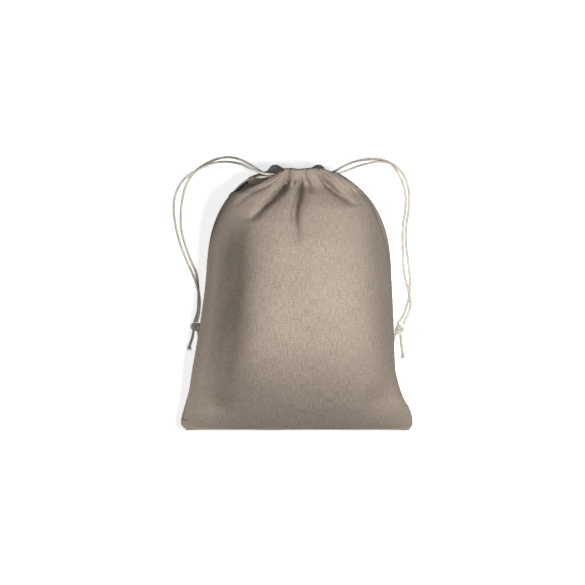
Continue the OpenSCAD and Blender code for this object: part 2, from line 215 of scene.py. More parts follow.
def tube_object(name, path, radius, sides=12, plies=0, lay_length=8 * MM, loop=False, width=1.0):
    """Tube along a path: at angle a, its radius is radius * (1 + 0.09 cos(plies * (a - twist))).
    Plies gives the strands of a twisted cord, which turn once in lay_length; the ends close.
    The UV map's first number runs from 0 to width round the tube."""
    path = np.asarray(path)
    tangent, side, up = path_frames(path, loop)
    steps = np.linalg.norm(np.diff(path, axis=0), axis=1)
    along = np.concatenate([[0], np.cumsum(steps)])
    angle = np.linspace(0, 2 * np.pi, sides, endpoint=False)[None, :]
    twist = 2 * np.pi * along[:, None] / lay_length
    lobes = 1 + (0.09 * np.cos(plies * (angle - twist)) if plies else 0)
    size = np.broadcast_to(np.asarray(radius), (len(path),))[:, None] * lobes
    points = (path[:, None, :] + size[..., None] * (np.cos(angle)[..., None] * side[:, None, :]
                                                    + np.sin(angle)[..., None] * up[:, None, :]))
    uv = np.stack(np.broadcast_arrays(width * angle / (2 * np.pi), along[:, None]), axis=-1)
    if loop:
        points = np.concatenate([points, points[:1]])
        uv = np.concatenate([uv, uv[:1] + [0, along[-1]]])
    obj = grid_object(name, points, uv, closed_across=True, flip=True)
    if not loop:
        close_ends(obj, len(path), sides)
    return obj


def close_ends(obj, rings, sides):
    """Adds one face over each end ring of a tube."""
    mesh = obj.data
    verts = np.empty(len(mesh.vertices) * 3, np.float32)
    mesh.vertices.foreach_get("co", verts)
    faces = [tuple(p.vertices) for p in mesh.polygons]
    uvs = np.empty(len(mesh.loops) * 2, np.float32)
    mesh.uv_layers[0].data.foreach_get("uv", uvs)
    first = list(range(sides))
    last = [(rings - 1) * sides + k for k in range(sides)]
    mesh.clear_geometry()
    mesh.from_pydata(verts.reshape(-1, 3).tolist(), [], faces + [first, last[::-1]])
    layer = mesh.uv_layers[0] if mesh.uv_layers else mesh.uv_layers.new(name="cloth")
    caps = np.zeros(4 * sides, np.float32)
    layer.data.foreach_set("uv", np.concatenate([uvs, caps]))


# %% [markdown]
# ## Shader maths as Python
# A node tree is easier to read as an expression. `Socket` wraps one output, and its operators add
# the Math node that does the same, so `1 - mask * 0.3` builds two nodes. Colours go through Mix
# nodes instead, because a Math node would turn them grey.

# %% A socket that does sums
class Socket:
    """One output of a node, or a plain number, that Python's operators can work on."""

    def __init__(self, shop, out):
        self.shop, self.out = shop, out

    def _math(self, operation, *values):
        return self.shop.node("ShaderNodeMath", {"operation": operation}, dict(enumerate(values)))

    def __add__(self, other): return self._math("ADD", self, other)
    def __radd__(self, other): return self._math("ADD", other, self)
    def __sub__(self, other): return self._math("SUBTRACT", self, other)
    def __rsub__(self, other): return self._math("SUBTRACT", other, self)
    def __mul__(self, other): return self._math("MULTIPLY", self, other)
    def __rmul__(self, other): return self._math("MULTIPLY", other, self)
    def __truediv__(self, other): return self._math("DIVIDE", self, other)
    def sin(self): return self._math("SINE", self)


class Shop:
    """One material's node tree, with a method that adds any node."""

    def __init__(self, name):
        self.material = bpy.data.materials.new(name)
        self.material.use_nodes = True
        self.tree = self.material.node_tree
        self.shader = self.tree.nodes["Principled BSDF"]

    def node(self, kind, settings=None, inputs=None, output=0):
        """Adds a node of that kind, sets it up, feeds its sockets and gives one output back."""
        made = self.tree.nodes.new(kind)
        for key, value in (settings or {}).items():
            if key == "stops":
                for stop, (place, colour) in zip(list(made.color_ramp.elements), value):
                    stop.position, stop.color = place, (*colour, 1)
            else:
                setattr(made, key, value)
        for key, value in (inputs or {}).items():
            self.feed(made.inputs[key], value)
        return Socket(self, made.outputs[output])

    def feed(self, socket, value):
        if isinstance(value, Socket):
            self.tree.links.new(value.out, socket)
        else:
            socket.default_value = value

    def coords(self, kind):
        """Three Sockets, X, Y and Z, of the UV or Object coordinates."""
        whole = self.node("ShaderNodeTexCoord", output=kind)
        return whole, [self.node("ShaderNodeSeparateXYZ", {}, {0: whole}, k) for k in range(3)]

    def noise(self, x, y, z, detail=2.0):
        """Noise from 0 to 1 at a point given by three Sockets or numbers."""
        place = self.node("ShaderNodeCombineXYZ", {}, {0: x, 1: y, 2: z})
        return self.node("ShaderNodeTexNoise", {}, {"Vector": place, "Scale": 1.0, "Detail": detail})

    def blend(self, factor, a, b):
        """Colour a where factor is 0 and colour b where it is 1."""
        ends = {6: a if isinstance(a, Socket) else (*a, 1), 7: b if isinstance(b, Socket) else (*b, 1)}
        return self.node("ShaderNodeMix", {"data_type": "RGBA"}, {0: factor, **ends}, 2)

    def step(self, value, low, high):
        """0 below low, 1 above high, and smooth between."""
        return self.node("ShaderNodeMapRange", {"interpolation_type": "SMOOTHSTEP"},
                         {"Value": value, "From Min": low, "From Max": high})

    def finish(self, colour, rough, height, distance, strength=1.0, sheen=0.3):
        """Feeds the shader: colour, roughness and a bump of that height in metres."""
        bump = self.node("ShaderNodeBump", {}, {"Height": height, "Distance": distance,
                                                "Strength": strength})
        self.feed(self.shader.inputs["Base Color"], colour)
        self.feed(self.shader.inputs["Roughness"], rough)
        self.feed(self.shader.inputs["Normal"], bump)
        self.shader.inputs["Sheen Weight"].default_value = sheen
        self.shader.inputs["Sheen Roughness"].default_value = 0.5
        self.shader.inputs["Specular IOR Level"].default_value = 0.2
        return self.material


# %% [markdown]
# ## Linen
# Undyed linen-cotton cloth is a plain weave of uneven yarns: some swell into slubs, some are darker
# flax and some pale cotton. A picture of cloth would do, but it blurs close up. Here the UV map
# holds real distances on the cloth, two sine waves make the weave, and noise stretched along each
# yarn's direction makes the slubs, so warp and weft both show their own streaks.

# %% Linen material
def linen(name, light, dark, pitch=0.62 * MM):
    """Plain weave: warp and weft ridges by two crossed waves, slubs by noise stretched along them, and painted
    shade in the hollows of the weave.
    """
    shop = Shop(name)
    _, (u, v, _) = shop.coords("UV")
    warp = (u * (2 * np.pi / pitch)).sin()
    weft = (v * (2 * np.pi / pitch)).sin()
    weave = warp * weft * 0.5 + 0.5
    warp_slub = shop.noise(u / (0.9 * MM), v / (9 * MM), 3.0)
    weft_slub = shop.noise(u / (6 * MM), v / (0.9 * MM), 7.0)
    cloud = shop.noise(u / (40 * MM), v / (46 * MM), 11.0)
    grain = shop.noise(u / (1.0 * MM), v / (1.2 * MM), 5.0, 3.0)
    tone = warp_slub * 0.3 + weft_slub * 0.2 + cloud * 0.06 + grain * 0.44
    base = shop.blend(shop.step(tone, 0.34, 0.66), dark, light)
    flax = shop.step(shop.noise(u / (0.9 * MM), v / (3 * MM), 17.0), 0.69, 0.75)
    fleck = shop.step(shop.noise(u / (2.5 * MM), v / (1.0 * MM), 23.0), 0.71, 0.77)
    yarn = shop.blend(flax * 0.45, base, tuple(0.5 * c for c in dark))
    yarn = shop.blend(fleck * 0.3, yarn, tuple(min(1.2 * c, 1) for c in light))
    # Painted shade: where the weave is low, the colour darkens towards 0.6 of the dark yarn, in the hollows
    # between the yarns.
    colour = shop.blend((1 - weave) * 0.22, yarn, tuple(0.6 * c for c in dark))
    rough = 0.82 + (grain - 0.5) * 0.16
    height = weave * 0.5 + warp_slub * 0.5 + weft_slub * 0.5
    return shop.finish(colour, rough, height, 0.25 * MM, 0.7, 0.06)


LINEN = linen("natural_linen", (0.40, 0.328, 0.265), (0.215, 0.175, 0.141))
# The second linen is the same cloth made a little darker. It is painted shade, worn by the back sheet and by
# the seam allowances inside the sack.
LINEN_PAINTED_SHADE = linen("linen_with_painted_shade", (0.37, 0.312, 0.258), (0.20, 0.168, 0.14))
print("linen", LINEN.name, LINEN_PAINTED_SHADE.name)


# %% [markdown]
# ## Cotton cord and thread
# The cord is three cream cotton strands twisted together. Its strands are real geometry; the finer
# fibres that run along each strand are a bump that follows the twist through the UV map.

# %% Cotton materials
PLIES = 3
FIBRES_ROUND = 24


def cotton(name, light, dark, lay_length=8 * MM):
    """Fibres: waves along lines that turn once round in lay_length, broken up by noise, with painted shade
    between the fibres.
    """
    shop = Shop(name)
    _, (u, v, _) = shop.coords("UV")
    turn = u - v / lay_length
    fibre = (turn * (2 * np.pi * FIBRES_ROUND) + shop.noise(u * 6.0, v / (2 * MM), 2.0) * 6.0).sin() * 0.5 + 0.5
    groove = (turn * (2 * np.pi * PLIES)).sin() * 0.5 + 0.5
    worn = shop.noise(u * 2.0, v / (9 * MM), 4.0)
    base = shop.blend(shop.step(worn, 0.35, 0.65), dark, light)
    # Painted shade: between the fibres, where the bump is low, the colour darkens towards 0.62 of the dark
    # cotton.
    colour = shop.blend((1 - fibre) * 0.18, base, tuple(0.62 * c for c in dark))
    rough = 0.85 + (worn - 0.5) * 0.12
    return shop.finish(colour, rough, fibre * 0.5 + groove * 0.1, 0.15 * MM, 0.8, 0.25)


COTTON = cotton("cream_cotton", (0.72, 0.66, 0.57), (0.55, 0.49, 0.41))
THREAD = cotton("linen_thread", (0.47, 0.39, 0.315), (0.33, 0.27, 0.215), 1.5 * MM)
print("cotton", COTTON.name, THREAD.name)

# %% [markdown]
# ## Camera and light
# The sack lies on its back and is seen from straight above. A long lens from far up keeps the cords
# on the table and the crown of the sack at nearly the same scale. A large soft light stands to the
# right, so the left flank falls into shade.

# %% Camera
VIEW_WIDTH = 614 * MM
VIEW_CENTRE = (-4.5 * MM, 6.3 * MM)
VIEW_PLANE_Z = 40 * MM
CAMERA_HEIGHT = 4.6
camera_data = bpy.data.cameras.new("camera")
camera_data.sensor_width = 36
camera_data.lens = 36 * (CAMERA_HEIGHT - VIEW_PLANE_Z) / VIEW_WIDTH
camera_data.clip_end = 50
camera = bpy.data.objects.new("camera", camera_data)
camera.location = (*VIEW_CENTRE, CAMERA_HEIGHT)
bpy.context.scene.collection.objects.link(camera)
bpy.context.scene.camera = camera
bpy.context.scene.view_settings.view_transform = "Standard"
print("lens", round(camera_data.lens, 1), "mm")


# %% Lights and floor
def soft_light(name, place, aim, size, power):
    """A square area light at a place, turned to face a point."""
    data = bpy.data.lights.new(name, "AREA")
    data.size, data.energy = size, power
    lamp = bpy.data.objects.new(name, data)
    lamp.location = place
    lamp.visible_camera = False
    toward = np.array(place) - np.array(aim)
    flat = np.hypot(toward[0], toward[1])
    lamp.rotation_euler = (np.arctan2(flat, toward[2]), 0, np.arctan2(toward[0], -toward[1]))
    bpy.context.scene.collection.objects.link(lamp)


soft_light("key", (0.19, -0.02, 0.62), (0.0, 0.0, 0.08), 0.20, 4.7)
soft_light("fill", (-0.45, 0.1, 2.0), (-0.05, 0, 0.0), 0.5, 13.0)
world = bpy.data.worlds.new("studio")
world.use_nodes = True
world.node_tree.nodes["Background"].inputs[0].default_value = (1, 1, 1, 1)
world.node_tree.nodes["Background"].inputs[1].default_value = 0.03
bpy.context.scene.world = world

FLOOR_HALF = 6.0
floor_grid = np.array([[[x, y, 0.0] for x in (-FLOOR_HALF, FLOOR_HALF)] for y in (-FLOOR_HALF, FLOOR_HALF)])
floor = grid_object("floor", floor_grid, floor_grid[..., :2])
paper = Shop("pale_paper")
_, (paper_x, paper_y, _) = paper.coords("Object")
paper_grain = paper.noise(paper_x / (3 * MM), paper_y / (3 * MM), 0.0)
floor.data.materials.append(paper.finish(
    paper.blend(paper_grain, (0.8, 0.8, 0.8), (0.84, 0.84, 0.84)), paper_grain * 0.1 + 0.75,
    paper_grain, 0.05 * MM, 0.2, 0.0))
paper.shader.inputs["Emission Color"].default_value = (1, 1, 1, 1)
paper.shader.inputs["Emission Strength"].default_value = 0.6
floor.visible_diffuse = False

# %% [markdown]
# ## The two cords
# Each cord goes through both casings, turns back at the far slit and comes out at its own side, so
# two strands leave each end of the mouth, fall to the table and meet in a knot. The points are the
# route of the CAD stand-in. A twisted tube is carried along the smooth curve through them.

# %% Routes of the cords
LEFT_FRONT_ROUTE = np.array([
    [12, 129, 62.6], [-10, 129.3, 62.6], [-28, 129.8, 62.6], [-37, 131.3, 61.8],
    [-47, 135.5, 57.5], [-59, 141, 46], [-70, 143.5, 30], [-81, 144, 15], [-93, 141.5, 6.5],
    [-106, 135, 4.4], [-119, 126, 2], [-127, 113, 1.3], [-130, 98, 1.3], [-128.5, 80, 1.3],
    [-124.5, 62, 1.3], [-118, 44, 1.3], [-111, 28, 1.6], [-105.5, 14, 3.3], [-103, 0, 3.9],
    [-103.5, -14, 4.5], [-106, -25, 6]]) * MM
LEFT_BACK_ROUTE = np.array([
    [12, 129, 40.6], [-10, 129.3, 40.6], [-29, 130, 40.6], [-37, 133, 39.8],
    [-47, 139.5, 36], [-59, 146, 27.5], [-71, 149, 15], [-84, 147.5, 5], [-97, 142, 1.4],
    [-108, 133.5, 1.3], [-116, 122, 1.3], [-120.5, 107, 1.3], [-122.5, 90, 1.3],
    [-122, 73, 1.3], [-118, 57, 1.3], [-112, 40, 1.3], [-106.5, 27, 1.3], [-104.5, 13, 1.3],
    [-104, 0, 1.3], [-105, -14, 2], [-108.5, -25, 4.5]]) * MM
RIGHT_FRONT_ROUTE = np.array([
    [-12, 129, 59.4], [10, 129.3, 59.4], [30, 129.6, 59.4], [43, 130.8, 59.1],
    [53, 134.2, 52.5], [63, 138.5, 38.5], [74, 142, 22], [86, 144.5, 9], [97, 143, 4.2], [105, 136, 2.6],
    [111, 125, 1.4], [115, 111, 1.3], [115, 95, 1.3], [112.5, 78, 1.3], [112, 62, 1.3],
    [112.5, 44, 1.3], [114, 25, 1.3], [118, 9, 3.4], [120.5, -5, 3.2], [118, -16, 3],
    [113, -27, 5]]) * MM
RIGHT_BACK_ROUTE = np.array([
    [-12, 129, 37.4], [10, 129.3, 37.4], [29, 130, 37.4], [38, 132.6, 36.8], [49, 139, 32],
    [62, 144.5, 20.5], [76, 147, 8.5], [89, 147, 2.2], [101, 142.5, 1.3], [110.5, 134, 1.3],
    [116.5, 123, 1.3], [119, 109, 1.3], [118.5, 94, 1.3], [116, 78, 1.3], [115.5, 61, 1.3],
    [117.5, 43, 1.3], [119.5, 25, 1.3], [119.5, 9, 1.3], [117.5, -4, 1.3], [113, -17, 2],
    [107, -27, 4]]) * MM
LEFT_RETURN_ROUTE = np.array([
    [12.4, 129, 62.6], [28, 127.5, 62.6], [38, 127, 61.5], [41.5, 127, 57], [42, 127, 51.6],
    [41.5, 127, 46], [38, 127, 41.7], [28, 127.5, 40.6], [12.4, 129, 40.6]]) * MM
RIGHT_RETURN_ROUTE = np.array([
    [-12.4, 129, 59.4], [-28, 127.5, 59.4], [-38, 127, 58.3], [-41.5, 127, 54],
    [-42, 127, 48.4], [-41.5, 127, 43], [-38, 127, 38.5], [-28, 127.5, 37.4],
    [-12.4, 129, 37.4]]) * MM
LEFT_TAIL_FRONT_ROUTE = np.array([[-104.5, -33, 6], [-103.5, -41, 4], [-102, -50, 2.2]]) * MM
LEFT_TAIL_BACK_ROUTE = np.array([[-109, -33, 4], [-110.5, -41, 2.6], [-113, -49, 1.5]]) * MM
RIGHT_TAIL_FRONT_ROUTE = np.array([[110, -38, 5], [110.5, -46, 3], [112, -58, 1.5]]) * MM
RIGHT_TAIL_BACK_ROUTE = np.array([[104.5, -37, 4], [102.5, -44, 2.6], [101, -51, 1.5]]) * MM

# %% [markdown]
# ## Knots and frayed tails
# Both strands of a cord are tied together in an overhand knot. The curve of such a knot is the
# trefoil, so a doubled cord carried along a trefoil gives wraps that really go over and under.
# Below the knot each strand ends in a short tail that opens into loose fibres.


# %% Knots, tails and fibres
def trefoil(centre, size, tilt, turn, offset=0.0):
    """Trefoil knot: x = sin t + 2 sin 2t, y = cos t - 2 cos 2t, z = -sin 3t, scaled and turned."""
    t = np.linspace(0, 2 * np.pi, 150, endpoint=False)
    ring = 2 + offset
    p = np.stack([np.sin(t) + ring * np.sin(2 * t), np.cos(t) - ring * np.cos(2 * t),
                  -1.15 * np.sin(3 * t)], axis=1) * size
    ct, st, cz, sz = np.cos(tilt), np.sin(tilt), np.cos(turn), np.sin(turn)
    about_x = np.array([[1, 0, 0], [0, ct, -st], [0, st, ct]])
    about_z = np.array([[cz, -sz, 0], [sz, cz, 0], [0, 0, 1]])
    return p @ about_x.T @ about_z.T + centre


def fibres(name, tip, direction, length, count, seed):
    """Loose fibres: thin tubes that leave the tail's tip within a cone and droop to the table."""
    rng = np.random.default_rng(seed)
    along = np.linspace(0, 1, 7)[:, None]
    strands = []
    for _ in range(count):
        start = tip + rng.normal(0, 0.45 * MM, 3)
        aim = direction + rng.normal(0, 0.22, 3)
        curl = rng.normal(0, 1.6 * MM, 3)
        reach = length * rng.uniform(0.5, 1.15)
        path = start + aim * reach * along + curl * along ** 2
        path[:, 2] = np.maximum(path[:, 2], 0.35 * MM)
        strands.append(tube_object(name, path, np.linspace(0.24, 0.12, 7) * MM, 5))
    return joined(strands, name)


def joined(objects, name):
    """All the objects as one, under one name."""
    with bpy.context.temp_override(active_object=objects[0], object=objects[0],
                                   selected_objects=objects, selected_editable_objects=objects):
        bpy.ops.object.join()
    objects[0].name = name
    objects[0].data.name = name
    return objects[0]


def tail(name, route, body, seed):
    """A tail of cord that ends in loose fibres."""
    path, _ = even_path(route, 0.7 * MM)
    cord = tube_object(name + "_cord", path, np.linspace(1, 1.12, len(path)) * CORD_D / 2, 12, 3)
    direction = path[-1] - path[-4]
    direction = direction / np.linalg.norm(direction)
    frayed = fibres(name + "_fibres", path[-1], direction, 6 * MM, 34, seed)
    obj = joined([cord, frayed], name + "_frayed")
    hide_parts(name)
    return finish_piece(obj, COTTON, body)


def knot(name, centre, turn, body):
    """Two cords side by side along one trefoil, as both strands are tied together."""
    wraps = [tube_object(f"{name}_wrap_{k}", trefoil(centre, 1.12 * MM, 0.5, turn, off),
                         CORD_D / 2 * 0.95, 12, 3, loop=True) for k, off in enumerate((0.0, 0.9))]
    obj = joined(wraps, name + "_tied")
    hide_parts(name)
    return finish_piece(obj, COTTON, body)


left_tails = [tail("left_tail_front", LEFT_TAIL_FRONT_ROUTE, "left_cord", 3),
              tail("left_tail_back", LEFT_TAIL_BACK_ROUTE, "left_cord", 4)]
right_tails = [tail("right_tail_front", RIGHT_TAIL_FRONT_ROUTE, "right_cord", 5),
               tail("right_tail_back", RIGHT_TAIL_BACK_ROUTE, "right_cord", 6)]


def middle(node):
    """Middle of a CAD node's box."""
    low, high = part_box(node)
    return (np.array(low) + np.array(high)) / 2


left_knot = knot("left_knot", middle("left_knot"), 0.3, "left_cord")
right_knot = knot("right_knot", middle("right_knot"), 1.4, "right_cord")
print("knots at", middle("left_knot"), middle("right_knot"))


# %% Strands
def strand(node, route, body):
    """One strand of twisted cord along a route; its real length is printed."""
    path, length = even_path(route, 0.8 * MM)
    obj = tube_object(node + "_twisted", path, CORD_D / 2, 15, 3)
    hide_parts(node)
    finish_piece(obj, COTTON, body)
    print(node, "length", round(float(length) * 1000), "mm")
    return obj


strand("left_cord_front_strand", LEFT_FRONT_ROUTE, "left_cord")
strand("left_cord_back_strand", LEFT_BACK_ROUTE, "left_cord")
strand("right_cord_front_strand", RIGHT_FRONT_ROUTE, "right_cord")
strand("right_cord_back_strand", RIGHT_BACK_ROUTE, "right_cord")
strand("left_cord_return", LEFT_RETURN_ROUTE, "sack")
strand("right_cord_return", RIGHT_RETURN_ROUTE, "sack")


# %% [markdown]
# ## Outline of the sack
# The sack's half width comes from a smooth curve through a few shares of its length, and the
# shoulders draw in to the gathered mouth along a rounded arc. The side seam rises from the bottom
# seam, runs level and climbs to the mouth.

# %% Outline and section
SEAM_RISE = 90 * MM
BELLY_LENGTH = 0.47 * LENGTH
FLAT_BELOW = 4 * MM


def half_width(side, y):
    """Body width by a smooth curve, mixed with the mouth's width along the rounded shoulder."""
    s = (y - Y_BOTTOM) / LENGTH
    left = through([0, 0.023, 0.085, 0.146, 0.236, 0.417, 0.6, 1],
                   [0.955, 1, 0.971, 0.931, 0.898, 0.829, 0.78, 0.755], s)
    right = through([0, 0.023, 0.074, 0.121, 0.175, 0.236, 0.417, 0.6, 1],
                    [0.971, 1, 0.98, 0.922, 0.878, 0.849, 0.833, 0.816, 0.8], s)
    body = np.where(side < 0, left, right) * HALF_W
    k = np.clip((y - SHOULDER_Y) / (SHOULDER_END - SHOULDER_Y), 0, 1)
    return mix(MOUTH_HALF, body, (1 - k ** 2.6) ** (1 / 1.35))


def seam_x(side, y):
    """Half width at the seam itself: on the right shoulder it lies inside the outline, and the
    back bulges past it."""
    return half_width(side, y) - np.where(side > 0, 5 * MM, 1.5 * MM) * shoulder_bulge(y)


def shoulder_bulge(y):
    """1 at the middle of the shoulder and 0 well above and below it."""
    return np.exp(-((y - 78 * MM) / (34 * MM)) ** 2)


def front_left_rim(y):
    """The front's left edge: on the seam up to the slit's foot, then drawn in towards the mouth."""
    drawn_in = through(np.array([108, 110, 112.5, 115.6, 120, 125, 130, 134]) * MM,
                       np.array([71, 69.5, 61, 52, 41, 31, 22, 16]) * MM, y)
    return np.where(y < 109 * MM, seam_x(LEFT, y), np.minimum(seam_x(LEFT, y), drawn_in))


def seam_height(y):
    """The side seam: up from the bottom seam, level, then up to the mouth."""
    return (mix(BOTTOM_Z, SEAM_Z, fill((y - Y_BOTTOM) / SEAM_RISE))
            + (MOUTH_Z - SEAM_Z) * ease((y - SHOULDER_Y) / (Y_SLIT - SHOULDER_Y)))


def belly(y):
    """Fullness along the body: 0 at the bottom seam and 1 from near its middle on."""
    return fill((y - Y_BOTTOM) / BELLY_LENGTH)


def rise(y):
    """How far the front stands above the side seam."""
    return (belly(y)
            * mix(CROWN_Z - SEAM_Z, CASING_DEPTH, ease((y - SHOULDER_Y) / (Y_MOUTH - SHOULDER_Y))))


def drop(y):
    """How far the back hangs below the side seam."""
    return (belly(y)
            * mix(SEAM_Z + FLAT_BELOW, CASING_DEPTH, ease((y - LIFT_Y) / (Y_MOUTH - LIFT_Y))))


# %% [markdown]
# ## Folds of the gathered mouth
# Pulling the cord packs a wide cloth into a narrow mouth. The spare width stands up in many small
# gathers at the stitches, and these run together into a few deep valleys that fan out over the
# shoulders and die away. Each valley is a line with its own depth and width; small gathers are
# waves that fade below the stitches.

# %% Valleys and gathers
FRONT_VALLEYS = [
    # points of the valley's line from the mouth down, then its depth and half width, in mm
    ([(-9, 133), (-9.2, 126.5), (-13.4, 116), (-22.8, 106.6), (-32.3, 98.2), (-40, 90), (-49, 80)], 25, 1.8),
    ([(4.3, 133), (4.3, 127.6), (3.4, 116), (1.3, 105), (-1.8, 92), (-2.5, 81), (-0.8, 69), (1, 58)], 19, 2.0),
    ([(8.2, 133), (8.2, 127.6), (12.2, 118.3), (16, 110)], 14, 1.3),
    ([(21.6, 133), (29.7, 121), (39.1, 111.8), (49.1, 104.5), (60, 96)], 20, 1.5),
    ([(25, 134), (37, 128.6), (46, 120.5), (56, 112)], 3.5, 1.6),
    ([(-14, 131), (-28, 120.2), (-46, 110.5), (-57, 103), (-66, 94)], 4, 1.5),
]
BACK_VALLEYS = [
    ([(-30, 138), (-36, 120), (-50, 104), (-60, 86)], 7, 2.4),
    ([(-8, 138), (-10, 118), (-18, 98), (-24, 74)], 11, 2.2),
    ([(2, 138), (3, 116), (4, 92), (5, 66)], 12, 2.2),
    ([(12, 138), (16, 118), (26, 98), (34, 76)], 9, 2.2),
    ([(31, 138), (40, 118), (54, 102), (64, 84)], 7, 2.4),
]
CASING_RELIEF = 0.33


def valley_place(x, y, line):
    """Signed distance across a valley's line, and how far down the line the point is, 0 to 1."""
    spots = np.array(line, float)[::-1] * MM
    centre = through(spots[:, 1], spots[:, 0], y)
    slant = (through(spots[:, 1], spots[:, 0], y + MM) - centre) / MM
    down = (spots[-1, 1] - y) / (spots[-1, 1] - spots[0, 1])
    return (x - centre) / np.sqrt(1 + slant ** 2), np.clip(down, 0, 1)


def valley_depth(x, y, valleys):
    """Each valley is a narrow crease, depth / (1 + (distance / width)^3), inside a broad hollow
    that leaves puffs of cloth between. Down its line it deepens quickly and dies away slowly, and
    in the casing it stays shallow, because the cord runs under it."""
    in_casing = ease((y - Y_STITCH + 3 * MM) / (10 * MM))
    total = 0
    for line, depth, width in valleys:
        away, down = valley_place(x, y, line)
        strength = (0.35 + 0.65 * ease(down / 0.22)) * (1 - down) ** 0.8
        wide = width * MM * (0.7 + 0.75 * np.sin(np.pi * down ** 0.8) * (down < 1) + 2 * down ** 4)
        crease = depth * MM * strength / (1 + np.abs(away / wide) ** 3)
        hollow = 0.34 * depth * MM * strength / (1 + (away / (9 * MM + 12 * MM * down)) ** 2)
        total = total + crease * mix(1, CASING_RELIEF, in_casing) + hollow * mix(1, 0.5, in_casing)
    return total


def valley_pinch(x, y, valleys):
    """The puffs lean over a crease from both sides, so its lips come closer than its floor."""
    total = 0
    for line, depth, width in valleys:
        away, down = valley_place(x, y, line)
        wide = width * MM * (1 + 1.2 * down)
        reach = 0.1 * depth * MM * ease(down / 0.2) * (1 - down)
        total = total - reach * np.tanh(away / wide) * np.exp(-(away / (3.2 * wide)) ** 2)
        lean = np.where(away < -0.4 * wide, 1.0, 0.0) * np.exp(-((away + 1.5 * wide) / (2 * wide)) ** 2)
        total = total + 0.6 * reach * lean * ease((-away - 0.4 * wide) / wide)
    return total


def gathers(share, y, count, amplitude, reach, seed):
    """Waves across the mouth, uneven in width and height, that fade below the stitches."""
    rng = np.random.default_rng(seed)
    wobble = sum(rng.uniform(0.2, 0.7) / k * np.sin(2 * np.pi * (k * share + rng.uniform()))
                 for k in range(1, 5))
    height = 0.75 + 0.25 * np.sin(2 * np.pi * (2.3 * share + rng.uniform()))
    fade = np.clip(1 - (Y_STITCH - y) / reach, 0, 1) ** 1.6
    return amplitude * height * fade * (1 - np.cos(2 * np.pi * (count * share + wobble))) / 2


# %% [markdown]
# ## The sheets of cloth
# Front and back are each one sheet: up the body, through the gathers, over the top edge and down
# inside to the casing's row of stitches. One function of two parameters gives each sheet. The
# column parameter c runs across and the row parameter v runs along, with v from 1 to 1.2 for the
# part that turns over the top. A live Solidify modifier gives the cloth its thickness.

# %% Sheet surfaces
COLUMNS, BODY_ROWS, TURN_ROWS, FOLD_ROWS = 250, 150, 9, 8
MOUTH_GAP = 6.5 * MM
OPENING = 12 * MM
SECTION_START = SHOULDER_Y + 20 * MM
FOLD_INSIDE = 6.2 * MM


def top_edge(face, x):
    """Top of each casing: the back stands up in two humps, and both round off at their corners."""
    if face == FRONT:
        edge = Y_MOUTH - 5.3 * MM + 1.2 * MM * ease(np.abs(x) / (20 * MM))
    else:
        edge = Y_MOUTH - 5.5 * MM + 5.3 * MM * np.exp(-((np.abs(x) - 23 * MM) / (8 * MM)) ** 2)
    return edge - 7 * MM * ease((np.abs(x) - 25 * MM) / (13 * MM)) ** 1.3


def front_section(across, round_lift, y):
    """Share of the rise at each place across: a broad crown, a steep flank and a flatter strip
    along the seam, which all turn into a round section at the mouth."""
    k = np.abs(across)
    left = through([0, 0.2, 0.33, 0.45, 0.56, 0.68, 0.78, 0.86, 0.93, 1],
                   [1, 0.985, 0.94, 0.86, 0.72, 0.48, 0.29, 0.17, 0.09, 0], k)
    right = through([0, 0.3, 0.5, 0.62, 0.74, 0.84, 0.92, 0.97, 1],
                    [1, 0.985, 0.94, 0.87, 0.73, 0.53, 0.29, 0.12, 0], k)
    flank = np.where(across < 0, left, right)
    return mix(flank, round_lift, ease((y - SECTION_START) / (Y_SLIT - SECTION_START)))


def sheet_points(face):
    """Rows and columns of the sheet's outer face."""
    c = np.linspace(0, 1, COLUMNS)[None, :]
    angle = np.pi * (1 - c)
    power = 2.2 if face == FRONT else 2.4
    across = np.sign(np.cos(angle)) * np.abs(np.cos(angle)) ** (2 / power)
    lift = np.sin(angle) ** (2 / power)
    v = np.linspace(0, 1, BODY_ROWS)[:, None]
    side = np.where(across < 0, LEFT, RIGHT)
    x_top = across * MOUTH_HALF
    y = mix(Y_BOTTOM, top_edge(face, x_top), v ** 1.15)
    if face == FRONT:
        x = across * np.where(across < 0, front_left_rim(y), seam_x(side, y))
        lift = front_section(across, lift, y)
        x = x + valley_pinch(x, y, FRONT_VALLEYS)
    else:
        bulge = (half_width(side, y) - seam_x(side, y)) * (1 - np.exp(-(lift / 0.12) ** 2))
        x = across * seam_x(side, y) + side * bulge * np.abs(across) ** 6
    gap = MOUTH_GAP * swell((y - Y_SLIT) / OPENING)
    height = rise(y) if face == FRONT else drop(y)
    band = ease((y - Y_SLIT) / OPENING)
    flat_top = np.minimum(1, lift * 2.2) ** 0.8
    z = gap + (height - gap) * mix(lift, flat_top, band * 0.6)
    z = z - surface_relief(face, x, y, c, lift)
    z = seam_height(y) + face * z
    rim = np.minimum(np.abs(angle), np.pi - np.abs(angle)) * half_width(side, y)
    x = x - side * seam_groove(y, rim)
    if face == BACK:
        rest = 0.12 * MM * ((2 * x / (2 * HALF_W)) ** 2 + (2 * y / LENGTH) ** 2)
        z = np.maximum(z, rest)
    return np.stack(np.broadcast_arrays(x, y, z), axis=-1), c


